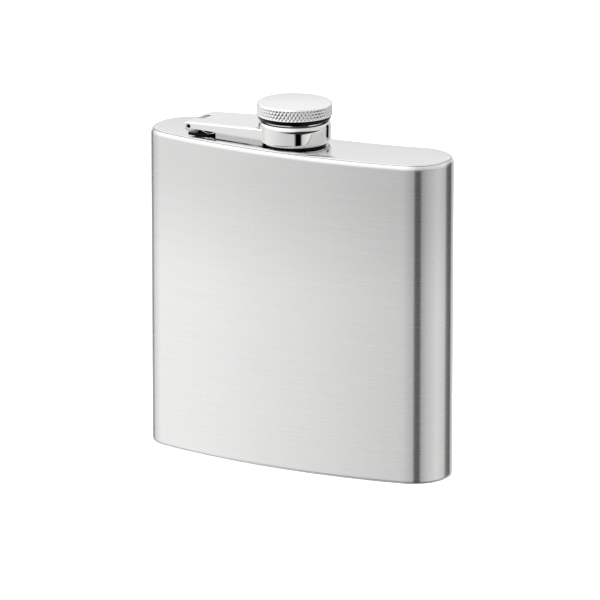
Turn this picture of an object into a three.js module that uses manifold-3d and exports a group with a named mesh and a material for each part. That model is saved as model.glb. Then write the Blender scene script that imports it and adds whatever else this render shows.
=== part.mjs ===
// Hip flask with a captive screw cap. Millimetres, +Z up, front of the flask towards -Y.
// The origin is on the base, below the middle of the body. The hinge of the cap is at -X.
import * as THREE from "three";
import { mergeVertices } from "three/addons/utils/BufferGeometryUtils.js";
import Module from "manifold-3d";

const wasm = await Module();
wasm.setup();

// ---- Driving dimensions ----

// Body: a kidney section, convex in front and hollow behind, to follow the hip.
const BODY = {
  width: 95,
  height: 93,
  thickness: 22.4, // between the front and back faces, on the middle plane
  frontSag: 6.4, // how far the front face bows over the full width
  backSag: 7.8,
  endRadius: 10.6,
  wall: 0.5,
  topRoll: { reach: 2.0, drop: 2.0 }, // shared by the shell and the top plate
  seamAngle: 45, // up the roll from the wall, where the shell ends and the plate begins
  bottomRoll: { reach: 0.85, drop: 0.85 },
  lipInset: 1.6, // how far the bottom rim reaches in from the outer face
  lipThickness: 0.6,
};
const PLATE = { thickness: 0.7, edge: 0.35, seamGap: 0.15, holeGap: 0.3 };

// Cap, collar and spout stand on one axis; their heights are above the body's rim.
const AXIS_Y = 0.4;
const SPOUT = {
  bore: 6.0,
  root: 7.0,
  crest: 7.5,
  tail: 6.7, // outside radius where it passes through the top plate
  tailDepth: 1.3, // below the top plate's upper face
  top: 7.2,
  chamfer: { reach: 0.3, drop: 0.4 },
  threadStart: 1.6,
  foot: [
    { radius: 9.0, height: 0.4 },
    { radius: 8.4, height: 0.9 },
  ],
};
const THREAD = {
  pitch: 2.0,
  turns: 1.75,
  rootWidth: 1.1,
  crestWidth: 0.37,
  root: 0.2, // how far the ridge is sunk in the wall
  fade: 1 / 6, // of a turn, over which each end dies away
  least: 0.05, // share of the ridge's height left at its very ends
};
const SKIRT = {
  outer: 9.25,
  crest: 8.15,
  root: 8.6,
  bottom: 0.6,
  footRadius: 9.75,
  footHeight: 0.85,
  roof: 8.25,
  shoulder: 8.7,
  spigotRadius: 7.0,
  spigotTop: 10.4,
  threadStart: 2.6,
};
const HEAD = {
  radius: 10.8,
  bottom: 7.2,
  rim: 12.05,
  crown: 0.3, // rise of the domed top
  pressGap: 0.1,
  edge: { reach: 0.9, drop: 0.8 },
  foot: { reach: 0.6, drop: 1.25 }, // taper under the grip
};
const GASKET = { radius: 8.3, thickness: 0.6, gap: 0.1 };
const COLLAR = {
  outer: 10.45,
  inner: 10.05,
  mouth: 9.5, // hole in the lip that holds the cap back
  bottom: 0.85,
  top: 6.7,
  lip: 0.5,
  toe: 9.85, // inner radius of the foot
  toeAngle: -75, // where the foot's roll starts, in degrees
  foot: { reach: 0.5, drop: 1.0 },
  shoulder: { reach: 0.9, drop: 2.0 },
};

// Arm and hinge.
const HINGE = { x: -30.5, z: 2.6 };
const ARM = {
  width: 14.8, // at the hinge
  flare: 1.25, // its width on the spout's axis over that at the hinge
  sheet: 0.5,
  fold: 0.8,
  eyeRadius: 1.42,
  rise: 0.95, // how much higher the web is at the collar than at the hinge
  flangeStock: 6, // depth of the flanges before their lower edge is trimmed
  flangeFoot: 2.05, // height of the flange's lower edge near the hinge
  flangeStep: -21.2, // where that edge steps down towards the top plate
  flangeEnd: 0.25, // its height from there to the collar
  weldGap: 0.3,
};
const SLOT = { width: 5.4, end: -28.2 };
const PIN = { radius: 0.8, bore: 0.6, hole: 0.9, inset: 0.15 };
const BRACKET = { width: 11.6, sheet: 0.5, knuckle: 4.8, knuckleRadius: 1.3, left: -31.5, right: -24.6 };
const LEAF = { width: 10.4, sheet: 0.25, left: -28.4, right: -21.6, sag: 1.9 };

// Fineness of the round stretches.
const ROUND = 48;
const SMALL_ROUND = 24;
const FACE_STEPS = 18;
const CORNER_STEPS = 5;
const FILLET_STEPS = 3;
const FOLD_STEPS = 4;
const LEAF_STEPS = 10;
const THREAD_STEPS = 24; // per turn

// ---- Geometry helpers ----

function solidOf(geometry) {
  const bare = new THREE.BufferGeometry();
  bare.setAttribute("position", geometry.getAttribute("position").clone());
  bare.setIndex(geometry.index);
  const merged = mergeVertices(bare, 1e-4);
  const mesh = new wasm.Mesh({
    numProp: 3,
    vertProperties: new Float32Array(merged.attributes.position.array),
    triVerts: new Uint32Array(merged.index.array),
  });
  return new wasm.Manifold(mesh);
}

function geometryOf(solid) {
  const mesh = solid.getMesh();
  const geometry = new THREE.BufferGeometry();
  geometry.setAttribute("position", new THREE.BufferAttribute(mesh.vertProperties, mesh.numProp));
  geometry.setIndex(new THREE.BufferAttribute(mesh.triVerts, 1));
  return geometry.toNonIndexed();
}

// Turns a profile of [radius, height] points about Z. It runs up the outside and down the inside.
function turned(profile, segments = ROUND) {
  const points = profile.map(([radius, height]) => new THREE.Vector2(radius, height));
  return new THREE.LatheGeometry(points, segments).rotateX(Math.PI / 2);
}

function cylinder(radius, bottom, top, segments = ROUND) {
  return turned([[0, bottom], [radius, bottom], [radius, top], [0, top]], segments);
}

// A quarter of an ellipse, as [radius, height] points round a centre, between two angles in degrees.
function roll(centreR, centreZ, { reach, drop }, fromDegrees, toDegrees, steps = FILLET_STEPS) {
  return Array.from({ length: steps + 1 }, (_, i) => {
    const angle = THREE.MathUtils.degToRad(fromDegrees + ((toDegrees - fromDegrees) * i) / steps);
    return [centreR + reach * Math.cos(angle), centreZ + drop * Math.sin(angle)];
  });
}

// Extrudes a shape drawn in X and Z along Y, centred on y = 0.
function acrossY(shape, width, curveSegments = SMALL_ROUND) {
  const geometry = new THREE.ExtrudeGeometry(shape, {
    depth: width,
    bevelEnabled: false,
    curveSegments,
  });
  return geometry.translate(0, 0, -width / 2).rotateX(Math.PI / 2);
}

function box(low, high) {
  const size = high.map((value, i) => value - low[i]);
  const middle = high.map((value, i) => (value + low[i]) / 2);
  return new THREE.BoxGeometry(...size).translate(...middle);
}

// ---- Kidney outline ----

// The outline is a front arc, an end arc, a short straight, an end arc and a back arc, mirrored
// about x = 0. Every inset gives the same number of points, so loops at different insets can be
// joined into a skin.
function kidney(inset) {
  const half = BODY.width / 2;
  const frontRadius = (half ** 2 + BODY.frontSag ** 2) / (2 * BODY.frontSag);
  const backRadius = (half ** 2 + BODY.backSag ** 2) / (2 * BODY.backSag);
  const frontCentre = -BODY.thickness / 2 + frontRadius;
  const backCentre = BODY.thickness / 2 + backRadius;
  const endX = half - BODY.endRadius;
  const frontEndY = frontCentre - Math.sqrt((frontRadius - BODY.endRadius) ** 2 - endX ** 2);
  const backEndY = backCentre - Math.sqrt((backRadius + BODY.endRadius) ** 2 - endX ** 2);
  const frontTangent = Math.atan2(frontEndY - frontCentre, endX);
  const backTangent = Math.atan2(backCentre - backEndY, -endX);
  const end = BODY.endRadius - inset;

  const points = [];
  const sweep = (x, y, radius, from, to, steps) => {
    for (let i = 0; i <= steps; i++) {
      const angle = from + ((to - from) * i) / steps;
      points.push(new THREE.Vector2(x + radius * Math.cos(angle), y + radius * Math.sin(angle)));
    }
  };
  sweep(endX, frontEndY, end, frontTangent, 0, CORNER_STEPS);
  sweep(endX, backEndY, end, 0, backTangent, CORNER_STEPS);
  const rightSide = points.slice();
  const backArc = backTangent - Math.PI;
  points.length = 0;
  sweep(0, backCentre, backRadius + inset, backArc, -Math.PI - backArc, FACE_STEPS);
  const back = points.slice(1, -1);
  points.length = 0;
  sweep(0, frontCentre, frontRadius - inset, -Math.PI - frontTangent, frontTangent, FACE_STEPS);
  const front = points.slice(1, -1);
  const leftSide = rightSide.map((p) => new THREE.Vector2(-p.x, p.y)).reverse();
  return [...rightSide, ...back, ...leftSide, ...front];
}

// Joins loops of [x, y, z] points into a closed skin; the last loop joins the first.
function skin(loops) {
  const count = loops[0].length;
  const index = [];
  for (let row = 0; row < loops.length; row++) {
    const next = (row + 1) % loops.length;
    for (let i = 0; i < count; i++) {
      const j = (i + 1) % count;
      const [a, b] = [row * count + i, row * count + j];
      const [c, d] = [next * count + i, next * count + j];
      index.push(a, b, d, a, d, c);
    }
  }
  const geometry = new THREE.BufferGeometry();
  geometry.setAttribute("position", new THREE.Float32BufferAttribute(loops.flat(2), 3));
  geometry.setIndex(index);
  return geometry.toNonIndexed();
}

function kidneyLoop([inset, z]) {
  return kidney(inset).map((p) => [p.x, p.y, z]);
}

// A circle round the spout's axis with one point for each point of the outline.
function circleLoop(radius, z) {
  return kidney(0).map((p) => {
    const angle = Math.atan2(p.y - AXIS_Y, p.x);
    return [radius * Math.cos(angle), AXIS_Y + radius * Math.sin(angle), z];
  });
}

// ---- Body ----

// The roll between the wall and the flat top, from one angle up it to another in degrees.
function topRoll(fromDegrees, toDegrees, steps) {
  const { height, topRoll: size } = BODY;
  return roll(size.reach, height - size.drop, size, 180 - fromDegrees, 180 - toDegrees, steps);
}

function bodyShell() {
  const { height, topRoll: size, seamAngle, bottomRoll, lipInset, lipThickness, wall } = BODY;
  const bottomEdge = roll(bottomRoll.reach, bottomRoll.drop, bottomRoll, 270, 180);
  const topEdge = topRoll(0, seamAngle, FILLET_STEPS);
  const [seamInset, seamZ] = topEdge[FILLET_STEPS];
  const rows = [
    [lipInset, 0],
    ...bottomEdge,
    ...topEdge,
    [seamInset + PLATE.edge, seamZ - PLATE.edge],
    [wall, height - size.drop - wall],
    [wall, lipThickness + wall],
    [wall * 2, lipThickness],
    [lipInset, lipThickness],
  ];
  return skin(rows.map(kidneyLoop));
}

function topPlate() {
  const { height, seamAngle } = BODY;
  const gapAngle = THREE.MathUtils.radToDeg(PLATE.seamGap / BODY.topRoll.drop);
  const edge = topRoll(seamAngle + gapAngle, 90, FILLET_STEPS);
  const [inset, z] = edge[0];
  const under = height - PLATE.thickness;
  const hole = SPOUT.tail + PLATE.holeGap;
  const outside = [[inset + z - under, under], ...edge];
  return skin([...outside.map(kidneyLoop), circleLoop(hole, height), circleLoop(hole, under)]);
}

function bottomPlate() {
  return new THREE.ExtrudeGeometry(new THREE.Shape(kidney(BODY.lipInset + PLATE.seamGap)), {
    depth: BODY.lipThickness,
    bevelEnabled: false,
  });
}

// ---- Thread ----

// A helical ridge with a tapered section and faded ends. It grows from radius root to crest,
// outwards on the spout and inwards in the cap, and it is rooted a little inside the wall.
function ridge(root, crest, bottom) {
  const { rootWidth, crestWidth, fade, least } = THREAD;
  const start = Math.PI / ROUND; // midway between two corners of the faceted wall
  const steps = Math.round(THREAD.turns * THREAD_STEPS);
  const buried = root + Math.sign(root - crest) * THREAD.root;
  const positions = [];
  const index = [];
  for (let i = 0; i <= steps; i++) {
    const angle = start + (2 * Math.PI * i) / THREAD_STEPS;
    const z = bottom + (THREAD.pitch * i) / THREAD_STEPS;
    const share = Math.min(1, Math.min(i, steps - i) / (fade * THREAD_STEPS) + least);
    const tip = root + (crest - root) * share;
    const section = [
      [buried, -rootWidth / 2],
      [tip, -crestWidth / 2],
      [tip, crestWidth / 2],
      [buried, rootWidth / 2],
    ];
    for (const [radius, dz] of section)
      positions.push(radius * Math.cos(angle), radius * Math.sin(angle), z + dz);
  }
  for (let i = 0; i < steps; i++)
    for (let k = 0; k < 4; k++) {
      const [a, b] = [4 * i + k, 4 * i + ((k + 1) % 4)];
      index.push(a, a + 4, b + 4, a, b + 4, b);
    }
  const last = 4 * steps;
  index.push(0, 1, 2, 0, 2, 3, last, last + 2, last + 1, last, last + 3, last + 2);
  if (crest < root) index.reverse();
  const geometry = new THREE.BufferGeometry();
  geometry.setAttribute("position", new THREE.Float32BufferAttribute(positions, 3));
  geometry.setIndex(index);
  return geometry;
}

// ---- Spout and cap ----

function spout() {
  const { bore, root, tail, tailDepth, top, chamfer, foot } = SPOUT;
  const profile = [
    [bore, -tailDepth],
    [tail, -tailDepth],
    [tail, 0],
    [foot[0].radius, 0],
    [foot[0].radius, foot[0].height],
    [foot[1].radius, foot[0].height],
    [foot[1].radius, foot[1].height],
    [root, foot[1].height],
    [root, top - chamfer.drop],
    [root - chamfer.reach, top],
    [bore, top],
    [bore, -tailDepth],
  ];
  const thread = ridge(root, SPOUT.crest, SPOUT.threadStart);
  return geometryOf(solidOf(turned(profile)).add(solidOf(thread)));
}

function capSkirt() {
  const { outer, root, bottom, footRadius, footHeight, roof, shoulder } = SKIRT;
  const { spigotRadius, spigotTop } = SKIRT;
  const profile = [
    [root, bottom],
    [footRadius, bottom],
    [footRadius, bottom + footHeight],
    [outer, bottom + footHeight],
    [outer, shoulder],
    [spigotRadius, shoulder],
    [spigotRadius, spigotTop],
    [0, spigotTop],
    [0, roof],
    [root, roof],
    [root, bottom],
  ];
  const thread = ridge(root, SKIRT.crest, SKIRT.threadStart);
  return geometryOf(solidOf(turned(profile)).add(solidOf(thread)));
}

function capHead() {
  const { radius, bottom, rim, crown, pressGap, edge, foot } = HEAD;
  const socket = SKIRT.spigotRadius + pressGap;
  const socketTop = SKIRT.spigotTop + pressGap;
  const recess = SKIRT.outer + pressGap;
  const recessTop = SKIRT.shoulder + pressGap;
  return turned([
    [recess, bottom],
    [radius - foot.reach, bottom],
    [radius, bottom + foot.drop],
    ...roll(radius - edge.reach, rim - edge.drop, edge, 0, 90),
    [radius / 2, rim + crown * (1 - 1 / 4)], // a parabola's height halfway out
    [0, rim + crown],
    [0, socketTop],
    [socket, socketTop],
    [socket, recessTop],
    [recess, recessTop],
    [recess, bottom],
  ]);
}

function capGasket() {
  const top = SKIRT.roof - GASKET.gap;
  return cylinder(GASKET.radius, top - GASKET.thickness, top);
}

function retainingCollar() {
  const { outer, inner, mouth, bottom, top, lip, toe, toeAngle, foot, shoulder } = COLLAR;
  return turned([
    [toe, bottom],
    ...roll(outer - foot.reach, bottom + foot.drop, foot, toeAngle, 0),
    ...roll(outer - shoulder.reach, top - shoulder.drop, shoulder, 0, 90),
    [mouth, top],
    [mouth, top - lip],
    [inner - shoulder.reach / 2, top - lip],
    [inner, top - shoulder.drop],
    [inner, bottom + foot.drop],
    [toe, bottom],
  ]);
}

// ---- Arm ----

// Seen from the side: a round eye on the pin, a flat top and a lower edge with one step down.
function armSide() {
  const { eyeRadius, flangeFoot, flangeStep } = ARM;
  const footAngle = Math.asin((flangeFoot - HINGE.z) / eyeRadius);
  const clearOfWeb = HINGE.z + eyeRadius + 2 * ARM.rise; // above the web where x is 0
  const shape = new THREE.Shape();
  shape.moveTo(0, clearOfWeb);
  shape.lineTo(HINGE.x, HINGE.z + eyeRadius);
  shape.absarc(HINGE.x, HINGE.z, eyeRadius, Math.PI / 2, 2 * Math.PI + footAngle, false);
  shape.lineTo(flangeStep, flangeFoot);
  shape.lineTo(flangeStep, ARM.flangeEnd);
  shape.lineTo(0, ARM.flangeEnd);
  return shape;
}

// The channel's section, drawn with y across and the web's top at zero.
function channelSection() {
  const { width, sheet, fold, flangeStock: depth } = ARM;
  const half = width / 2;
  const inner = fold - sheet;
  const shape = new THREE.Shape();
  shape.moveTo(-half, -depth);
  shape.lineTo(-half + sheet, -depth);
  shape.lineTo(-half + sheet, -fold);
  shape.absarc(-half + fold, -fold, inner, Math.PI, Math.PI / 2, true);
  shape.lineTo(half - fold, -sheet);
  shape.absarc(half - fold, -fold, inner, Math.PI / 2, 0, true);
  shape.lineTo(half - sheet, -depth);
  shape.lineTo(half, -depth);
  shape.lineTo(half, -fold);
  shape.absarc(half - fold, -fold, fold, 0, Math.PI / 2, false);
  shape.lineTo(-half + fold, 0);
  shape.absarc(-half + fold, -fold, fold, Math.PI / 2, Math.PI, false);
  return shape;
}

function armStrap() {
  const run = -HINGE.x;
  const overhang = 2 * ARM.eyeRadius; // past the pin
  const channel = new THREE.ExtrudeGeometry(channelSection(), {
    depth: run + overhang,
    bevelEnabled: false,
    curveSegments: FOLD_STEPS,
  });
  // Section x becomes Y, section y becomes Z and the depth becomes +X, starting at the pin.
  channel.rotateX(Math.PI / 2).rotateZ(Math.PI / 2);
  channel.translate(-overhang, 0, 0);
  const corners = channel.getAttribute("position");
  for (let i = 0; i < corners.count; i++) {
    const share = corners.getX(i) / run;
    corners.setY(i, corners.getY(i) * (1 + (ARM.flare - 1) * share));
  }
  channel.rotateY(-Math.atan2(ARM.rise, run - COLLAR.outer));
  channel.translate(HINGE.x, 0, HINGE.z + ARM.eyeRadius);

  const collarClearance = COLLAR.outer + ARM.weldGap;
  const slotHalf = SLOT.width / 2;
  const far = 2 * BODY.thickness;
  const pinHole = cylinder(PIN.hole, -far, far, SMALL_ROUND).rotateX(Math.PI / 2);
  pinHole.translate(HINGE.x, 0, HINGE.z);
  return geometryOf(
    solidOf(channel)
      .intersect(solidOf(acrossY(armSide(), far)))
      .subtract(solidOf(cylinder(collarClearance, -far, far)))
      .subtract(solidOf(box([-far, -slotHalf, HINGE.z], [SLOT.end, slotHalf, far])))
      .subtract(solidOf(pinHole)),
  );
}

function hingePin() {
  const half = ARM.width / 2 - PIN.inset;
  const tube = turned(
    [[PIN.bore, -half], [PIN.radius, -half], [PIN.radius, half], [PIN.bore, half], [PIN.bore, -half]],
    SMALL_ROUND,
  );
  return tube.rotateX(Math.PI / 2).translate(HINGE.x, 0, HINGE.z);
}

// A strip on the top plate whose middle tongue rises on the right of the pin and closes round it.
function hingeBracket() {
  const { width, sheet, knuckle, knuckleRadius, left, right } = BRACKET;
  const foot = box([left, -width / 2, 0], [right, width / 2, sheet]);
  const barrel = new THREE.Shape();
  barrel.moveTo(HINGE.x + knuckleRadius, 0);
  barrel.lineTo(HINGE.x + knuckleRadius, HINGE.z);
  barrel.absarc(HINGE.x, HINGE.z, knuckleRadius, 0, Math.PI, false);
  const riser = HINGE.x + knuckleRadius - 2 * sheet;
  barrel.lineTo(HINGE.x - knuckleRadius + sheet, HINGE.z - knuckleRadius);
  barrel.lineTo(riser, HINGE.z - knuckleRadius);
  barrel.lineTo(riser, 0);
  const hole = cylinder(PIN.hole, -width, width, SMALL_ROUND).rotateX(Math.PI / 2);
  hole.translate(HINGE.x, 0, HINGE.z);
  const tongue = solidOf(acrossY(barrel, knuckle)).subtract(solidOf(hole));
  return geometryOf(solidOf(foot).add(tongue));
}

// A bowed strip: it rests on the bracket in its middle and its right end nearly meets the arm.
function leafSpring() {
  const { width, sheet, left, right, sag } = LEAF;
  const middle = (left + right) / 2;
  const half = (right - left) / 2;
  const radius = (half ** 2 + sag ** 2) / (2 * sag);
  const rest = BRACKET.sheet;
  const spread = Math.asin(half / radius);
  const shape = new THREE.Shape();
  shape.absarc(middle, rest + radius, radius, -Math.PI / 2 - spread, -Math.PI / 2 + spread, false);
  shape.absarc(middle, rest + radius, radius - sheet, -Math.PI / 2 + spread, -Math.PI / 2 - spread, true);
  return acrossY(shape, width, LEAF_STEPS);
}

// ---- Assembly ----

const finishes = {
  brushed: { color: 0xbdbdbb, roughness: 0.38, metalness: 1 },
  polished: { color: 0xcfcfcd, roughness: 0.16, metalness: 1 },
  chrome: { color: 0xd6d6d4, roughness: 0.06, metalness: 1 },
  satin: { color: 0xc8c8c6, roughness: 0.3, metalness: 1 },
  seal: { color: 0xe4e2dc, roughness: 0.7, metalness: 0 },
};

function piece(name, geometry, finish) {
  geometry.deleteAttribute("normal");
  geometry.deleteAttribute("uv");
  geometry.computeVertexNormals();
  const mesh = new THREE.Mesh(geometry, new THREE.MeshStandardMaterial(finishes[finish]));
  mesh.name = name;
  return mesh;
}

function body() {
  const group = new THREE.Group();
  group.add(
    piece("body_shell", bodyShell(), "brushed"),
    piece("top_plate", topPlate(), "polished"),
    piece("bottom_plate", bottomPlate(), "brushed"),
  );
  return group;
}

function closure() {
  const group = new THREE.Group();
  group.position.set(0, AXIS_Y, BODY.height);
  group.add(
    piece("neck", spout(), "polished"),
    piece("hinge_bracket", hingeBracket(), "polished"),
    piece("hinge_pin", hingePin(), "chrome"),
    piece("leaf_spring", leafSpring(), "polished"),
    piece("arm_strap", armStrap(), "chrome"),
    piece("retaining_collar", retainingCollar(), "chrome"),
    piece("cap_gasket", capGasket(), "seal"),
    piece("cap_skirt", capSkirt(), "chrome"),
    piece("cap_head", capHead(), "satin"),
  );
  return group;
}

const flask = new THREE.Group();
flask.add(body(), closure());

export default flask;
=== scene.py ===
import math

import bmesh
import bpy
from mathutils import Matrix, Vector


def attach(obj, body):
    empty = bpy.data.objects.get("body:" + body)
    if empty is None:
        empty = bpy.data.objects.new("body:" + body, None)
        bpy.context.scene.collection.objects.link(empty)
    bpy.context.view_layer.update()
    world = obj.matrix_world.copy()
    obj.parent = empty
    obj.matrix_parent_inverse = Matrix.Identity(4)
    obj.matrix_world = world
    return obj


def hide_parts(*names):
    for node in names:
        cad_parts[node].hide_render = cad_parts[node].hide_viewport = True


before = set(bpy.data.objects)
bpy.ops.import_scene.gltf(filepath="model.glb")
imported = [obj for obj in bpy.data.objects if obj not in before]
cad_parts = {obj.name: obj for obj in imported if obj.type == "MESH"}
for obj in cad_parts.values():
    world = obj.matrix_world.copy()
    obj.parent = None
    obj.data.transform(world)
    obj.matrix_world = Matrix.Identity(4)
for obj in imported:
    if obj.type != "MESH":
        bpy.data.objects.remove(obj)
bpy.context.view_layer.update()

# Lengths are in millimetres until a mesh is made. Heights of the closure are above the rim.
MM = 0.001
RIM = 93.0
AXIS_Y = 0.4  # of the spout, the cap and the arm

BODY_WIDTH = 95.0
BODY_THICKNESS = 22.4
FRONT_SAG = 6.4
BACK_SAG = 7.8
END_RADIUS = 10.6
WALL = 0.5
TOP_ROLL = (2.0, 2.0)  # reach, drop
SEAM_ANGLE = 45.0  # how far round the roll the shell goes before the plate takes over
SEAM_GAP = 4.3  # in degrees of the roll
BOTTOM_ROLL = (0.85, 0.85)
LIP_INSET = 1.6
LIP_THICKNESS = 0.6
PLATE_THICKNESS = 0.7
BASE_THICKNESS = 0.6
BASE_INSET = 1.7
BASE_CHAMFER = 0.06
HOLE_RADIUS = 6.9
GRAIN_PER_METRE = 10.0  # texture lengths of the grain map per metre of profile

HINGE_X = -30.5
HINGE_Z = 2.6
EYE_RADIUS = 1.42
PIN_HOLE = 0.86
ARM_WIDTH = 14.8
ARM_FLARE = 1.25  # width at the collar over width at the hinge
ARM_SHEET = 0.5
ARM_FOLD = 0.8
ARM_RISE = 0.95
ARM_STOCK = 6.0  # depth of the flanges before they are trimmed
SLOT_END = -28.2
SLOT_HALF = 2.7
COLLAR_OUTER = 10.45
COLLAR_GAP = 0.04
FLANGE_FOOT = 2.05
FLANGE_STEP = -21.2
FLANGE_END = 0.25
BARREL_RADIUS = 1.3
BRACKET_ENDS = (-31.5, -24.6)
BRACKET_SHEET = 0.5
BRACKET_HALF = 5.8
TONGUE_HALF = 2.4
LEAF_ENDS = (-28.4, -21.6)
LEAF_LOW = 0.5
LEAF_SAG = 1.9
LEAF_SHEET = 0.25
LEAF_HALF = 5.2

THREAD_PITCH = 2.0
THREAD_TURNS = 1.75
THREAD_START = 180 / 48  # in degrees
THREAD_ROOT = (0.2, 0.55)  # how far the ridge is sunk in its barrel, and its half width there
THREAD_CREST_HALF = 0.2
THREAD_FADE = 1 / 6  # in turns
THREAD_LEAST = 0.05

HEAD_RADIUS = 10.8
HEAD_BORE = 9.35
HEAD_LOW = 7.2
HEAD_HIGH = 12.05
HEAD_EDGE = (0.9, 0.8)  # reach, drop of the rounded shoulder
HEAD_DOME = 0.3
KNURL_LOW = 8.5
KNURL_HIGH = 11.5
KNURL_AROUND = 62
KNURL_DEPTH = 0.36
KNURL_PERIOD = 1.7  # height of a diamond
KNURL_SHARPNESS = 2.6
KNURL_FADE = 0.12
KNURL_MIX = (0.55, 0.45)  # weights of the deeper and the shallower of two crossing grooves
NECK_FOOT_HIGH = 0.9
FLAT_AREA = 12.0  # in square millimetres; larger faces of a pressed piece are shaded flat
WELD = 1e-7  # in metres; closer points of a mesh are one point
SHARP = 35.0  # edges that turn by more degrees than this are not smoothed
BEVEL_FROM = 40.0  # nor are edges bevelled that turn by fewer than this


# ---- Meshes ----


def finish_mesh(name, points, faces, uvs=None, sharp=SHARP):
    """An object from points in millimetres, smooth except at edges sharper than sharp degrees."""
    mesh = bpy.data.meshes.new(name)
    mesh.from_pydata([Vector(p) * MM for p in points], [], faces)
    if uvs:
        layer = mesh.uv_layers.new(name="grain")
        for loop in mesh.loops:
            layer.data[loop.index].uv = uvs[loop.vertex_index]
    work = bmesh.new()
    work.from_mesh(mesh)
    bmesh.ops.remove_doubles(work, verts=work.verts, dist=WELD)
    bmesh.ops.recalc_face_normals(work, faces=work.faces)
    work.to_mesh(mesh)
    work.free()
    return smoothed(bpy.data.objects.new(name, mesh), sharp)


def smoothed(obj, sharp):
    """Shades an object smooth but for its sharp edges, and puts it in the scene if it is new."""
    mesh = obj.data
    mesh.polygons.foreach_set("use_smooth", [True] * len(mesh.polygons))
    mesh.set_sharp_from_angle(angle=math.radians(sharp))
    if obj.name not in bpy.context.scene.collection.objects:
        bpy.context.scene.collection.objects.link(obj)
    return obj


def skin(name, rows, grain=None, sharp=SHARP):
    """Joins rows of points, each a closed loop, into a skin whose last row meets its first."""
    count = len(rows[0])
    points = [p for row in rows for p in row]
    uvs = [g for row in grain for g in row] if grain else None
    faces = []
    for r in range(len(rows)):
        n = (r + 1) % len(rows)
        for i in range(count):
            j = (i + 1) % count
            faces.append((r * count + i, r * count + j, n * count + j, n * count + i))
    return finish_mesh(name, points, faces, uvs, sharp)


def rounded(profile, radius=0.12, steps=4):
    """A closed (radius, height) profile with its corners rounded off.

    Corners on the axis and bends of under 30 degrees are kept.
    """
    tiny, straight, most = 1e-6, math.radians(150), 0.45
    result = []
    for i, here in enumerate(profile):
        before = Vector(profile[i - 1]) - Vector(here)
        after = Vector(profile[(i + 1) % len(profile)]) - Vector(here)
        if here[0] < tiny or before.length < tiny or after.length < tiny:
            result.append(tuple(here))
            continue
        turn = before.angle(after)
        if turn > straight:
            result.append(tuple(here))
            continue
        reach = min(radius / math.tan(turn / 2), most * before.length, most * after.length)
        start = Vector(here) + before.normalized() * reach
        end = Vector(here) + after.normalized() * reach
        for k in range(steps + 1):
            t = k / steps
            p = start * (1 - t) ** 2 + Vector(here) * 2 * t * (1 - t) + end * t**2
            result.append(tuple(p))
    return result


def turns(count):
    """The angles of a number of equal steps round a circle."""
    return [2 * math.pi * k / count for k in range(count)]


def spun(profile, angle):
    """A (radius, height) profile turned about the spout's axis to an angle."""
    return [(r * math.cos(angle), r * math.sin(angle) + AXIS_Y, z + RIM) for r, z in profile]


def lathe(name, profile, segments=144):
    """A closed (radius, height) profile spun round the spout's axis."""
    return skin(name, [spun(profile, a) for a in turns(segments)])


def roll(centre, radii, start, stop, steps=8):
    """Points on an ellipse round a centre, between two angles in degrees."""
    points = []
    for k in range(steps + 1):
        a = math.radians(start + (stop - start) * k / steps)
        points.append((centre[0] + radii[0] * math.cos(a), centre[1] + radii[1] * math.sin(a)))
    return points


def prism(name, outline, low, high):
    """Extrudes an outline drawn in x and z along y."""
    count = len(outline)
    points = [(x, y, z) for y in (low, high) for x, z in outline]
    faces = [tuple(range(count)), tuple(reversed(range(count, 2 * count)))]
    for i in range(count):
        j = (i + 1) % count
        faces.append((i, i + count, j + count, j))
    return finish_mesh(name, points, faces)


def apply_modifiers(obj):
    """Makes the result of an object's modifiers its mesh."""
    graph = bpy.context.evaluated_depsgraph_get()
    mesh = bpy.data.meshes.new_from_object(obj.evaluated_get(graph))
    obj.modifiers.clear()
    obj.data = mesh
    return obj


def combine(obj, other, operation):
    """Joins another object to this one or cuts this one with it; the other is used up."""
    cut = obj.modifiers.new("combine", "BOOLEAN")
    cut.operation = operation
    cut.object = other
    cut.solver = "EXACT"
    apply_modifiers(obj)
    bpy.data.objects.remove(other)


def bevelled(obj, width, segments=2):
    """Rounds an object's edges by a width, and shades its large faces flat."""
    edge = obj.modifiers.new("edge", "BEVEL")
    edge.width = width * MM
    edge.segments = segments
    edge.limit_method = "ANGLE"
    edge.angle_limit = math.radians(BEVEL_FROM)
    edge.harden_normals = True
    smoothed(apply_modifiers(obj), SHARP)
    for face in obj.data.polygons:
        if face.area > FLAT_AREA * MM**2:
            face.use_smooth = False
    return obj


def join(name, objects):
    """One object of several meshes."""
    work = bmesh.new()
    for obj in objects:
        work.from_mesh(obj.data)
    mesh = bpy.data.meshes.new(name)
    work.to_mesh(mesh)
    work.free()
    for obj in objects:
        bpy.data.objects.remove(obj)
    obj = bpy.data.objects.new(name, mesh)
    bpy.context.scene.collection.objects.link(obj)
    return obj


def pin_drill(half=30.0, segments=48):
    """A cylinder along y that cuts the hole for the hinge pin."""
    outline = []
    for a in turns(segments):
        outline.append((HINGE_X + PIN_HOLE * math.cos(a), HINGE_Z + RIM + PIN_HOLE * math.sin(a)))
    return prism("cutter", outline, -half, half)


# ---- Kidney outline ----


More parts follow.
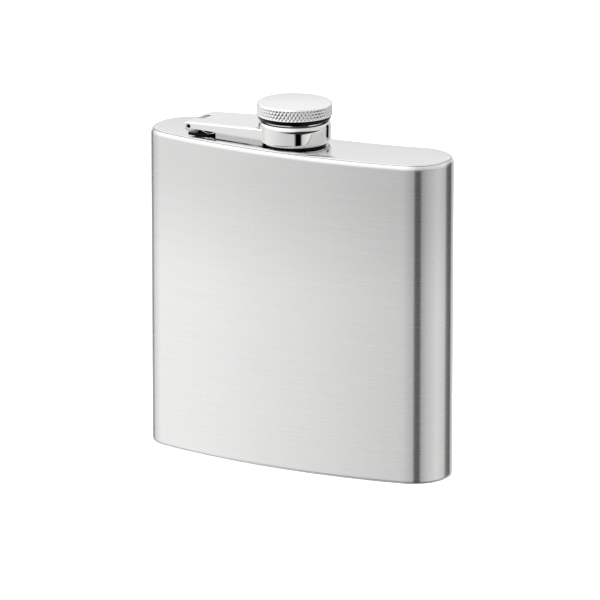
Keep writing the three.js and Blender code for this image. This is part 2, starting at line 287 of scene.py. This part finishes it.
def kidney_outline():
    """Points of the body's outer face from above, each with its outward normal."""
    half = BODY_WIDTH / 2
    front_radius = (half**2 + FRONT_SAG**2) / (2 * FRONT_SAG)
    back_radius = (half**2 + BACK_SAG**2) / (2 * BACK_SAG)
    front_centre = -BODY_THICKNESS / 2 + front_radius
    back_centre = BODY_THICKNESS / 2 + back_radius
    end_x = half - END_RADIUS
    front_y = front_centre - math.sqrt((front_radius - END_RADIUS) ** 2 - end_x**2)
    back_y = back_centre - math.sqrt((back_radius + END_RADIUS) ** 2 - end_x**2)
    front_tangent = math.atan2(front_y - front_centre, end_x)
    back_tangent = math.atan2(back_centre - back_y, -end_x)

    def sweep(cx, cy, radius, start, stop, steps, outward):
        """Points of an arc; outward is 1 where it bulges out of the body and -1 where in."""
        found = []
        for k in range(steps + 1):
            a = start + (stop - start) * k / steps
            normal = (outward * math.cos(a), outward * math.sin(a))
            found.append(((cx + radius * math.cos(a), cy + radius * math.sin(a)), normal))
        return found

    quarter, side = 26, 90
    right = sweep(end_x, front_y, END_RADIUS, front_tangent, 0, quarter, 1)
    right += sweep(end_x, back_y, END_RADIUS, 0, back_tangent, quarter, 1)
    left = [((-p[0], p[1]), (-n[0], n[1])) for p, n in reversed(right)]
    back_arc = back_tangent - math.pi
    back = sweep(0, back_centre, back_radius, back_arc, -math.pi - back_arc, side, -1)
    front_arc = -math.pi - front_tangent
    front = sweep(0, front_centre, front_radius, front_arc, front_tangent, side, 1)
    return right + back[1:-1] + left + front[1:-1]


OUTLINE = kidney_outline()


def kidney(inset, z):
    """The outline moved inwards, at a height."""
    return [(p[0] - n[0] * inset, p[1] - n[1] * inset, z) for p, n in OUTLINE]


# ---- Body ----


def body_shell():
    """The wall, drawn as (inset, height) from the foot's lip up the outside and back inside."""
    wall_foot = BOTTOM_ROLL[1]
    wall_head = RIM - TOP_ROLL[1]
    wall_shares = (0.004, 0.25, 0.5, 0.75, 0.996)
    rows = [(LIP_INSET, 0.0)]
    rows += roll(BOTTOM_ROLL, BOTTOM_ROLL, 270, 180)
    rows += [(0.0, wall_foot + (wall_head - wall_foot) * share) for share in wall_shares]
    rows += roll((TOP_ROLL[0], wall_head), TOP_ROLL, 180, 180 - SEAM_ANGLE, 10)
    seam_inset, seam_z = rows[-1]
    # The cut edge at the seam, then the inside of the wall down to the lip.
    rows += [
        (seam_inset + 0.03, seam_z - 0.01),
        (seam_inset + 0.35, seam_z - 0.35),
        (WALL, wall_head - WALL),
        (WALL, LIP_THICKNESS + WALL),
        (2 * WALL, LIP_THICKNESS),
        (LIP_INSET, LIP_THICKNESS),
    ]
    loops = [kidney(inset, z) for inset, z in rows]
    grain = []
    along = 0.0
    for k, row in enumerate(rows):
        if k:
            along += math.dist(rows[k - 1], row)
        u = along * MM * GRAIN_PER_METRE
        grain.append([(u, i / len(OUTLINE)) for i in range(len(OUTLINE))])
    return skin("body_shell_visual", loops, grain)


def circle(radius, z):
    """A circle round the spout's axis with one point for each point of the outline."""
    found = []
    for p, _ in OUTLINE:
        a = math.atan2(p[1] - AXIS_Y, p[0])
        found.append((radius * math.cos(a), AXIS_Y + radius * math.sin(a), z))
    return found


def top_plate():
    """The plate, drawn as (inset, height) from its underside over its edge to the spout's hole."""
    edge = roll((TOP_ROLL[0], RIM - TOP_ROLL[1]), TOP_ROLL, 180 - SEAM_ANGLE - SEAM_GAP, 90, 12)
    inset, z = edge[0]
    under = RIM - PLATE_THICKNESS
    rows = [(inset + z - under, under), (inset + 0.03, z - 0.03)] + edge
    loops = [kidney(i, h) for i, h in rows]
    return skin("top_plate_visual", loops + [circle(HOLE_RADIUS, RIM), circle(HOLE_RADIUS, under)])


def bottom_plate():
    """A chamfered plate inside the foot's lip."""
    edge, top = BASE_CHAMFER, BASE_THICKNESS
    rows = [
        (BASE_INSET + edge, 0.0),
        (BASE_INSET, edge),
        (BASE_INSET, top - edge),
        (BASE_INSET + edge, top),
    ]
    loops = [kidney(i, h) for i, h in rows]
    return skin("bottom_plate_visual", loops + [circle(0.0, top), circle(0.0, 0.0)])


# ---- Closure ----


def ridge(root, crest, bottom):
    """A helical thread ridge with faded ends."""
    per_turn = 72
    steps = round(THREAD_TURNS * per_turn)
    sunk, root_half = THREAD_ROOT
    buried = root + math.copysign(sunk, root - crest)
    crest_half = THREAD_CREST_HALF
    shape = [(buried, -root_half), (crest, -crest_half), (crest, crest_half), (buried, root_half)]
    shape = rounded(shape, steps=3)
    count = len(shape)
    points = []
    for i in range(steps + 1):
        a = math.radians(THREAD_START) + 2 * math.pi * i / per_turn
        z = bottom + THREAD_PITCH * i / per_turn
        fade = min(1, min(i, steps - i) / (per_turn * THREAD_FADE) + THREAD_LEAST)
        for radius, dz in shape:
            r = buried + (radius - buried) * fade
            points.append((r * math.cos(a), r * math.sin(a) + AXIS_Y, z + dz + RIM))
    faces = []
    for i in range(steps):
        for k in range(count):
            n = (k + 1) % count
            faces.append((i * count + k, (i + 1) * count + k, (i + 1) * count + n, i * count + n))
    faces.append(tuple(range(count)))
    faces.append(tuple(reversed(range(steps * count, (steps + 1) * count))))
    return finish_mesh("ridge", points, faces)


def neck():
    """The spout, on a stepped foot that stands on the plate."""
    bore, plug, spout, step, foot = 6.0, 6.7, 7.0, 8.4, 9.0
    profile = [
        (bore, -1.3),
        (plug, -1.3),
        (plug, 0.0),
        (foot, 0.0),
        (foot, 0.4),
        (step, 0.4),
        (step, NECK_FOOT_HIGH),
        (spout, NECK_FOOT_HIGH),
        (spout, 6.8),
        (plug, 7.2),
        (bore, 7.2),
    ]
    return join("neck_visual", [lathe("spout", rounded(profile)), ridge(spout, 7.5, 1.6)])


def cap_skirt():
    """The cap's barrel, with a catch ring at its foot and a boss that the head is pressed on."""
    boss, bore, barrel, ring = 7.0, 8.6, 9.25, 9.75
    profile = [
        (bore, 0.6),
        (ring, 0.6),
        (ring, 1.45),
        (barrel, 1.45),
        (barrel, 8.7),
        (boss, 8.7),
        (boss, 10.4),
        (0.0, 10.4),
        (0.0, 8.25),
        (bore, 8.25),
    ]
    skirt = lathe("skirt", rounded(profile, 0.15))
    return join("cap_skirt_visual", [skirt, ridge(bore, 8.15, 2.6)])


def knurled(turn, z):
    """Radius of the grip, where turn counts diamonds round it."""
    rise = (z - KNURL_LOW) / KNURL_PERIOD
    cuts = []
    for phase in (turn + rise, turn - rise):
        cuts.append(1 - min(1, KNURL_SHARPNESS * abs(phase % 1 - 0.5)))
    groove = KNURL_MIX[0] * max(cuts) + KNURL_MIX[1] * min(cuts)
    fade = max(0, min(1, (z - KNURL_LOW) / KNURL_FADE, (KNURL_HIGH - z) / KNURL_FADE))
    reach, drop = HEAD_EDGE
    over = max(0, (z - (HEAD_HIGH - drop)) / drop)
    outside = HEAD_RADIUS - reach * (1 - math.sqrt(1 - over * over))
    return outside - KNURL_DEPTH * groove * fade


def cap_head():
    """The grip: a diamond knurl on the side, a taper below it and a slightly domed top."""
    per_diamond = 8
    around = KNURL_AROUND * per_diamond
    taper, taper_top = (HEAD_RADIUS - 0.6, HEAD_LOW), (HEAD_RADIUS - 0.12, HEAD_LOW + 1.2)
    # The taper is rounded as a closed shape. Its first corner's points give way to the sharp
    # corner of the bore, and its last corner leaves a fine groove below the knurl.
    corner_points = 5
    under = rounded([(HEAD_BORE, HEAD_LOW), taper, taper_top], 0.15, corner_points - 1)
    under = [(HEAD_BORE, HEAD_LOW)] + under[corner_points:]
    side = 30
    heights = [KNURL_LOW + (KNURL_HIGH - KNURL_LOW) * k / side for k in range(side + 1)]
    start = HEAD_RADIUS - HEAD_EDGE[0]
    shoulder = roll((start, HEAD_HIGH - HEAD_EDGE[1]), HEAD_EDGE, 20, 90, 8)
    dome = [(start * f, HEAD_HIGH + HEAD_DOME * (1 - f * f)) for f in (0.85, 0.65, 0.45, 0.25)]
    dome.append((0.0, HEAD_HIGH + HEAD_DOME))
    inside = [(0.0, 10.5), (7.1, 10.5), (7.1, 8.8), (HEAD_BORE, 8.8)]
    rows = []
    for k, a in enumerate(turns(around)):
        grip = [(knurled(k / per_diamond, z), z) for z in heights]
        rows.append(spun(under + grip + shoulder + dome + inside, a))
    return skin("cap_head_visual", rows, sharp=50)


def cap_gasket():
    """A flat disc in the top of the cap's barrel."""
    radius, low, high = 8.3, 7.55, 8.15
    profile = [(0.0, low), (radius, low), (radius, high), (0.0, high)]
    return lathe("cap_gasket_visual", rounded(profile, 0.2))


def retaining_collar():
    """A thin ring, curled in at its foot and closed over the cap's catch ring at its top."""
    foot, shoulder = (9.95, 1.85), (9.55, 4.7)
    mouth, bore = 9.5, 10.05
    profile = [(9.85, 0.85)]
    profile += roll(foot, (0.5, 1.0), -75, 0, 12)
    profile += roll(shoulder, (0.9, 2.0), 0, 90, 16)
    profile += [(mouth, 6.7), (mouth, 6.2), (9.6, 6.2), (bore, shoulder[1]), (bore, foot[1])]
    return lathe("retaining_collar_visual", rounded(profile, 0.08))


def arm_channel(top, slope):
    """The pressed channel before it is trimmed: a web with a folded flange down each side."""
    half = ARM_WIDTH / 2
    bend = (half - ARM_FOLD, -ARM_FOLD)
    inside = ARM_FOLD - ARM_SHEET
    right = [(half, -ARM_STOCK)] + roll(bend, (ARM_FOLD, ARM_FOLD), 0, 90, 10)
    right_inner = roll(bend, (inside, inside), 90, 0, 6) + [(half - ARM_SHEET, -ARM_STOCK)]
    section = right + [(-y, z) for y, z in reversed(right)]
    section += [(-y, z) for y, z in reversed(right_inner)] + right_inner
    points = []
    for along in (-2 * EYE_RADIUS, 2 * EYE_RADIUS - HINGE_X):
        flare = 1 + (ARM_FLARE - 1) * along / -HINGE_X
        for y, z in section:
            points.append(
                (
                    HINGE_X + along * math.cos(slope) - z * math.sin(slope),
                    y * flare + AXIS_Y,
                    top + along * math.sin(slope) + z * math.cos(slope) + RIM,
                )
            )
    count = len(section)
    faces = [tuple(range(count)), tuple(reversed(range(count, 2 * count)))]
    for i in range(count):
        j = (i + 1) % count
        faces.append((i, j, j + count, i + count))
    return finish_mesh("arm_strap_visual", points, faces)


def arm_strap():
    """The channel trimmed to its side view, round the collar, at the slot and at the pin."""
    top = HINGE_Z + EYE_RADIUS
    strap = arm_channel(top, math.atan2(ARM_RISE, -HINGE_X - COLLAR_OUTER))
    far = 20.0
    foot_angle = math.degrees(math.asin((FLANGE_FOOT - HINGE_Z) / EYE_RADIUS))
    side = [(0.0, top + 2 * ARM_RISE)]
    side += roll((HINGE_X, HINGE_Z), (EYE_RADIUS, EYE_RADIUS), 90, 360 + foot_angle, 40)
    side += [(FLANGE_STEP, FLANGE_FOOT), (FLANGE_STEP, FLANGE_END), (0.0, FLANGE_END)]
    side = [(x, z + RIM) for x, z in side]
    combine(strap, prism("cutter", side, -far, far), "INTERSECT")
    edge = COLLAR_OUTER - COLLAR_GAP
    combine(strap, lathe("cutter", [(edge, -far), (edge, far), (0, far), (0, -far)]), "DIFFERENCE")
    low, high, start = HINGE_Z + RIM, far + RIM, HINGE_X - 9.5
    slot = [(start, low), (SLOT_END, low), (SLOT_END, high), (start, high)]
    combine(strap, prism("cutter", slot, AXIS_Y - SLOT_HALF, AXIS_Y + SLOT_HALF), "DIFFERENCE")
    combine(strap, pin_drill(), "DIFFERENCE")
    return bevelled(strap, 0.09, 3)


def hinge_pin():
    """A hollow pin."""
    half = ARM_WIDTH / 2 - 0.15
    bore, outside = 0.56, 0.8
    profile = rounded([(bore, -half), (outside, -half), (outside, half), (bore, half)], 0.08)
    rows = []
    for a in turns(48):
        x, z = math.cos(a), math.sin(a)
        rows.append([(HINGE_X + r * x, y + AXIS_Y, HINGE_Z + RIM + r * z) for r, y in profile])
    return skin("hinge_pin_visual", rows)


def hinge_bracket():
    """A foot on the plate with a tongue that stands up to a barrel round the pin."""
    left, right = BRACKET_ENDS
    top = RIM + BRACKET_SHEET
    plan = [(left, RIM), (right, RIM), (right, top), (left, top)]
    foot = prism("hinge_bracket_visual", plan, AXIS_Y - BRACKET_HALF, AXIS_Y + BRACKET_HALF)
    low = HINGE_Z + RIM - BARREL_RADIUS
    barrel = [(HINGE_X + BARREL_RADIUS, RIM)]
    barrel += roll((HINGE_X, HINGE_Z + RIM), (BARREL_RADIUS, BARREL_RADIUS), 0, 180, 24)
    barrel += [(HINGE_X - 0.8, low), (HINGE_X + 0.3, low), (HINGE_X + 0.3, RIM)]
    tongue = prism("tongue", barrel, AXIS_Y - TONGUE_HALF, AXIS_Y + TONGUE_HALF)
    combine(tongue, pin_drill(), "DIFFERENCE")
    combine(foot, tongue, "UNION")
    return bevelled(foot, 0.07)


def leaf_spring():
    """A strip bowed downwards, its lowest line just above the bracket's foot."""
    left, right = LEAF_ENDS
    half = (right - left) / 2
    radius = (half**2 + LEAF_SAG**2) / (2 * LEAF_SAG)
    inner = radius - LEAF_SHEET
    spread = math.degrees(math.asin(half / radius))
    centre = ((left + right) / 2, LEAF_LOW + radius + RIM)
    lower = roll(centre, (radius, radius), -90 - spread, -90 + spread, 28)
    upper = roll(centre, (inner, inner), -90 + spread, -90 - spread, 28)
    leaf = prism("leaf_spring_visual", lower + upper, AXIS_Y - LEAF_HALF, AXIS_Y + LEAF_HALF)
    return bevelled(leaf, 0.05)


# ---- Materials ----


GRAIN_RANGE = (0.25, 0.75)  # of the noise; beyond it the tone stays as it is
NOISE_ROUGHNESS = 0.6
BLUE_SHARE = 0.992  # steel is a little warmer than grey


class Nodes:
    """Short names for building a node tree."""

    def __init__(self, tree):
        self.tree = tree

    def add(self, kind, **settings):
        node = self.tree.nodes.new(kind)
        for key, value in settings.items():
            setattr(node, key, value)
        return node

    def link(self, source, target):
        """Feeds a socket from another one, or sets it to a number."""
        if hasattr(source, "links"):
            self.tree.links.new(source, target)
        else:
            target.default_value = source

    def math(self, operation, *values):
        node = self.add("ShaderNodeMath", operation=operation)
        for value, socket in zip(values, node.inputs):
            self.link(value, socket)
        return node.outputs[0]

    def ramp(self, value, low, high, to_low=0.0, to_high=1.0, smooth=True):
        kind = "SMOOTHSTEP" if smooth else "LINEAR"
        node = self.add("ShaderNodeMapRange", interpolation_type=kind)
        for source, name in (
            (value, "Value"),
            (low, "From Min"),
            (high, "From Max"),
            (to_low, "To Min"),
            (to_high, "To Max"),
        ):
            self.link(source, node.inputs[name])
        return node.outputs[0]

    def noise(self, scale, detail=3.0, stretch=(1, 1, 1)):
        """Noise in the piece's own space; scale is in features per millimetre."""
        per_metre = scale / MM
        where = self.add("ShaderNodeTexCoord")
        mapping = self.add("ShaderNodeMapping")
        mapping.inputs["Scale"].default_value = [per_metre * s for s in stretch]
        self.link(where.outputs["Object"], mapping.inputs["Vector"])
        noise = self.add("ShaderNodeTexNoise")
        noise.inputs["Scale"].default_value = 1.0
        noise.inputs["Detail"].default_value = detail
        noise.inputs["Roughness"].default_value = NOISE_ROUGHNESS
        self.link(mapping.outputs["Vector"], noise.inputs["Vector"])
        return noise.outputs["Fac"]


def blank(name):
    """A new material, with its shader and a builder for its nodes."""
    material = bpy.data.materials.new(name)
    material.use_nodes = True
    return material, material.node_tree.nodes["Principled BSDF"], Nodes(material.node_tree)


def metal(name, tone, roughness, streaks, anisotropy=0.0, wave=None, fades=()):
    """Steel of a tone, its reflectance.

    streaks is (scale, stretch, tone change, roughness change) of the noise in it, and stretch is
    one of the grain directions. wave (scale, height) ripples the surface. Each of fades
    (from, to, share) scales the tone between two heights of the piece's own space, and beyond
    the second.
    """
    material, shader, nodes = blank(name)
    shader.inputs["Metallic"].default_value = 1.0
    shader.inputs["Anisotropic"].default_value = anisotropy
    colour = nodes.add("ShaderNodeCombineColor")
    scale, stretch, tone_change, rough_change = streaks
    grain = nodes.noise(scale, 4.0, stretch)
    level = nodes.ramp(grain, *GRAIN_RANGE, tone - tone_change, tone + tone_change, False)
    rough = roughness - rough_change, roughness + rough_change
    rough = nodes.ramp(grain, *GRAIN_RANGE, *rough, False)
    nodes.link(rough, shader.inputs["Roughness"])
    if fades:
        where = nodes.add("ShaderNodeTexCoord")
        split = nodes.add("ShaderNodeSeparateXYZ")
        nodes.link(where.outputs["Object"], split.inputs[0])
    for start, end, share in fades:
        scaled = nodes.ramp(split.outputs["Z"], start * MM, end * MM, 1.0, share)
        level = nodes.math("MULTIPLY", level, scaled)
    nodes.link(level, colour.inputs["Red"])
    nodes.link(level, colour.inputs["Green"])
    nodes.link(nodes.math("MULTIPLY", level, BLUE_SHARE), colour.inputs["Blue"])
    nodes.link(colour.outputs[0], shader.inputs["Base Color"])
    if anisotropy:
        tangent = nodes.add("ShaderNodeTangent", direction_type="UV_MAP", uv_map="grain")
        nodes.link(tangent.outputs[0], shader.inputs["Tangent"])
    if wave:
        scale, height = wave
        bump = nodes.add("ShaderNodeBump")
        bump.inputs["Strength"].default_value = 1.0
        bump.inputs["Distance"].default_value = height * MM
        nodes.link(nodes.noise(scale, 1.0), bump.inputs["Height"])
        nodes.link(bump.outputs[0], shader.inputs["Normal"])
    return material


def rubber(name, colour):
    """Matt rubber of an even colour."""
    material, shader, nodes = blank(name)
    shader.inputs["Base Color"].default_value = (*colour, 1)
    nodes.link(nodes.ramp(nodes.noise(2.0), 0.3, 0.7, 0.55, 0.7), shader.inputs["Roughness"])
    return material


# Changes of tone with height. The first darkens the wall towards its top as painted shade, the
# second undoes it on the rolled rim, and the third darkens the lower part of the arm's flanges as
# painted shade.
WALL_SHARE = 0.82
WALL_PAINTED_SHADE = (46.0, 89.0, WALL_SHARE)
RIM_FADE = (RIM - TOP_ROLL[1], RIM - 0.6 * TOP_ROLL[1], 1 / WALL_SHARE)
FLANGE_PAINTED_SHADE = (RIM + 2.3, RIM + 1.5, 0.66)

# Grain directions: (x, y, z) stretch of the noise.
EVEN, AROUND, ALONG, ACROSS, DEEP = (1, 1, 1), (1, 1, 55), (4, 1, 1), (1, 6, 1), (1, 30, 1)

# The wall darkens towards its top: painted shade.
BRUSHED = metal(
    "brushed steel with painted shade", 0.8, 0.27, (0.06, AROUND, 0.022, 0.006), 1.0, fades=(WALL_PAINTED_SHADE, RIM_FADE)
)
PLATE = metal("polished plate", 0.76, 0.1, (0.5, EVEN, 0.01, 0.02), wave=(0.12, 0.004))
BASE = metal("brushed base", 0.72, 0.3, (0.1, DEEP, 0.03, 0.03))
CHROME = metal("mirror chrome", 0.76, 0.04, (0.8, EVEN, 0.005, 0.01))
# Its flanges darken towards their foot: painted shade.
STRAP = metal("polished strap with painted shade", 0.78, 0.08, (0.8, ALONG, 0.02, 0.02), fades=(FLANGE_PAINTED_SHADE,))
# The bracket's barrel: spring steel, its tone lowered as painted shade of the arm's inside.
SPRING_SHADED = metal("spring steel in painted shade", 0.4, 0.14, (0.8, ACROSS, 0.02, 0.02))
SATIN = metal("satin steel", 0.88, 0.22, (0.4, EVEN, 0.01, 0.02))
KNURL = metal("knurled steel", 0.84, 0.12, (0.8, EVEN, 0.01, 0.02))
# Painted shade: near-black steel put in the grip's taper and knurl pits, on the spout's foot and
# on the bracket's lower part, where shade falls.
SHADE = metal("painted shade", 0.012, 0.3, (0.8, EVEN, 0.005, 0.02))
SEAL = rubber("white seal", (0.86, 0.85, 0.82))


# ---- Pieces ----


def above_rim(face):
    """Height of a face's middle, in millimetres."""
    return face.center.z / MM - RIM


def grip_finish_and_painted_shade(face):
    """Satin above the knurl, bright on it, and painted shade below it and in its pits."""
    if above_rim(face) >= KNURL_HIGH:
        return 0
    reach = math.hypot(face.center.x, face.center.y - AXIS_Y * MM) / MM
    pit = reach < HEAD_RADIUS - 0.7 * KNURL_DEPTH
    return 2 if pit or above_rim(face) < KNURL_LOW else 1


def neck_painted_shade(face):
    """Painted shade on the spout's foot, under the collar."""
    return int(above_rim(face) < NECK_FOOT_HIGH + 0.05)


def bracket_painted_shade(face):
    """Painted shade on the bracket up to just above the middle of the pin."""
    return int(above_rim(face) < HINGE_Z + 0.6)


def strap_satin_and_painted_light(face):
    """Satin on the faces that look up, lighter in tone than the flanges as painted light from
    above.
    """
    return int(face.normal.z > 0.9)


def piece(obj, materials, node, body, choose=None):
    """Dresses a piece and books it in; choose numbers the material of each face."""
    obj.data.materials.clear()
    for material in materials:
        obj.data.materials.append(material)
    if choose:
        for face in obj.data.polygons:
            face.material_index = choose(face)
    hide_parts(node)
    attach(obj, body)


BRACKET = (SPRING_SHADED, SHADE)
GRIP = (SATIN, KNURL, SHADE)
piece(body_shell(), [BRUSHED], "body_shell", "flask")
piece(top_plate(), [PLATE], "top_plate", "flask")
piece(bottom_plate(), [BASE], "bottom_plate", "flask")
piece(neck(), [CHROME, SHADE], "neck", "flask", neck_painted_shade)
piece(hinge_bracket(), BRACKET, "hinge_bracket", "flask", bracket_painted_shade)
piece(hinge_pin(), [CHROME], "hinge_pin", "flask")
piece(leaf_spring(), [CHROME], "leaf_spring", "flask")
piece(arm_strap(), [STRAP, SATIN], "arm_strap", "arm", strap_satin_and_painted_light)
piece(retaining_collar(), [CHROME], "retaining_collar", "arm")
piece(cap_gasket(), [SEAL], "cap_gasket", "seal")
piece(cap_skirt(), [CHROME], "cap_skirt", "cap")
piece(cap_head(), GRIP, "cap_head", "cap", grip_finish_and_painted_shade)


# ---- Studio ----

# What the metal sees. Azimuth 0 is in front and 90 to the right; angles are in degrees.
WALL_LIGHT = 0.75
TOP_LIGHT = 1.5
GROUND_LIGHT = 0.03
# Panels and black flags on the walls: (azimuth, half width, softness, light).
PANELS = [
    (-70, 45, 45, 1.06),
    (-94, 10, 18, 0.88),
    (90, 28, 14, 1.0),
    (41.5, 10.5, 4, 0.0),
    (156, 9, 5, 0.0),
    (-113, 5, 6, 0.0),
]
# The same for the ceiling.
CEILING = [(-150, 50, 20, 1.02), (90, 70, 45, 0.85)]
CEILING_EDGE = (4.0, 20.0)  # elevations between which the walls turn into the ceiling
# A dark lens on the camera's side: azimuth, half width, elevation, half height, softness.
BAND = (52.0, 72.0, 1.0, 13.0, 1.5)
# Dark ground on the same side: azimuth, half width, softness, and the elevations of its edge.
GROUND = (44, 100, 8)
GROUND_EDGE = (-34.0, -50.0)
FLOOR_RADIUS = 4.0  # in metres, as are all lengths below but the lens
FLOOR_DROP = 0.00002  # keeps the floor clear of the base
CAMERA_AZIMUTH = 29.83
CAMERA_ELEVATION = 15.21
CAMERA_DISTANCE = 2.043
CAMERA_LENS = 431  # in millimetres
CAMERA_AIM = (0.0, 0.0, 0.046)
CAMERA_SHIFT = (0.00176, 0.00091, 0.0)  # right and up from the aim, as the camera sees it


def sector(nodes, azimuth, centre, half, soft):
    """1 within a sector of azimuth and 0 outside it."""
    away = nodes.math("WRAP", nodes.math("SUBTRACT", azimuth, float(centre)), 180.0, -180.0)
    away = nodes.math("ABSOLUTE", away)
    return nodes.ramp(away, float(half + soft), float(max(half - soft, 0)))


def blend(nodes, share, first, second):
    """A number that goes from the first to the second as the share goes from 0 to 1."""
    mix = nodes.add("ShaderNodeMix", data_type="FLOAT")
    for source, place in ((share, 0), (first, 2), (second, 3)):
        nodes.link(source, mix.inputs[place])
    return mix.outputs[0]


def paint(nodes, azimuth, light, panels):
    """Lays panels over a light, one after the other."""
    for centre, half, soft, level in panels:
        light = blend(nodes, sector(nodes, azimuth, centre, half, soft), light, float(level))
    return light


def studio_world():
    """Lights the scene by direction; the camera itself sees plain white."""
    world = bpy.data.worlds.new("studio")
    world.use_nodes = True
    bpy.context.scene.world = world
    nodes = Nodes(world.node_tree)
    background = world.node_tree.nodes["Background"]
    where = nodes.add("ShaderNodeTexCoord")
    split = nodes.add("ShaderNodeSeparateXYZ")
    nodes.link(where.outputs["Generated"], split.inputs[0])
    east, north, up = split.outputs
    degrees = 180 / math.pi
    azimuth = nodes.math("ARCTAN2", east, nodes.math("MULTIPLY", north, -1.0))
    azimuth = nodes.math("MULTIPLY", azimuth, degrees)
    elevation = nodes.math("MULTIPLY", nodes.math("ARCSINE", up), degrees)

    walls = paint(nodes, azimuth, WALL_LIGHT, PANELS)
    ceiling = paint(nodes, azimuth, TOP_LIGHT, CEILING)
    light = blend(nodes, nodes.ramp(elevation, *CEILING_EDGE), walls, ceiling)

    middle, half_width, level, half_height, soft = BAND
    away = nodes.math("DIVIDE", nodes.math("SUBTRACT", azimuth, middle), half_width)
    limit = nodes.math("SUBTRACT", 1.0, nodes.math("ABSOLUTE", away))
    off = nodes.math("ABSOLUTE", nodes.math("SUBTRACT", elevation, level))
    inside = nodes.math("SUBTRACT", nodes.math("MULTIPLY", limit, half_height), off)
    light = blend(nodes, nodes.ramp(inside, -soft, soft), light, GROUND_LIGHT)

    low = nodes.ramp(elevation, *GROUND_EDGE)
    dark = nodes.math("MULTIPLY", sector(nodes, azimuth, *GROUND), low)
    light = blend(nodes, dark, light, GROUND_LIGHT)

    path = nodes.add("ShaderNodeLightPath")
    light = blend(nodes, path.outputs["Is Camera Ray"], light, 1.0)
    nodes.link(light, background.inputs["Strength"])
    background.inputs["Color"].default_value = (1, 1, 1, 1)


def floor():
    """A pale disc that the metal doesn't reflect."""
    material, shader, _ = blank("pale floor")
    shader.inputs["Base Color"].default_value = (0.9, 0.9, 0.9, 1)
    shader.inputs["Roughness"].default_value = 0.9
    shader.inputs["Specular IOR Level"].default_value = 0.0
    mesh = bpy.data.meshes.new("floor")
    edge = [(FLOOR_RADIUS * math.cos(a), FLOOR_RADIUS * math.sin(a), 0) for a in turns(96)]
    mesh.from_pydata(edge, [], [tuple(range(len(edge)))])
    mesh.materials.append(material)
    obj = bpy.data.objects.new("floor", mesh)
    bpy.context.scene.collection.objects.link(obj)
    obj.location.z = -FLOOR_DROP
    obj.visible_glossy = False


def overhead(name, place, size, power):
    """A soft round lamp aimed at the object, seen by neither the metal nor the camera."""
    light = bpy.data.lights.new(name, "AREA")
    light.shape = "DISK"
    light.size = size
    light.energy = power
    obj = bpy.data.objects.new(name, light)
    bpy.context.scene.collection.objects.link(obj)
    obj.location = place
    aim = Vector((0, 0, 0.04)) - Vector(place)
    obj.rotation_euler = aim.to_track_quat("-Z", "Y").to_euler()
    obj.visible_glossy = False
    obj.visible_camera = False


def camera():
    azimuth, elevation = math.radians(CAMERA_AZIMUTH), math.radians(CAMERA_ELEVATION)
    back = Vector(
        (
            math.sin(azimuth) * math.cos(elevation),
            -math.cos(azimuth) * math.cos(elevation),
            math.sin(elevation),
        )
    )
    turn = (-back).to_track_quat("-Z", "Y")
    data = bpy.data.cameras.new("camera")
    data.sensor_width = 36
    data.lens = CAMERA_LENS
    data.clip_start = 0.1
    data.clip_end = 20
    obj = bpy.data.objects.new("camera", data)
    bpy.context.scene.collection.objects.link(obj)
    aim = Vector(CAMERA_AIM) + turn @ Vector(CAMERA_SHIFT)
    obj.location = aim + back * CAMERA_DISTANCE
    obj.rotation_mode = "QUATERNION"
    obj.rotation_quaternion = turn
    bpy.context.scene.camera = obj


studio_world()
floor()
overhead("key", (0.0, 0.0, 1.6), 2.4, 60.0)
camera()
bpy.context.scene.view_settings.view_transform = "Standard"
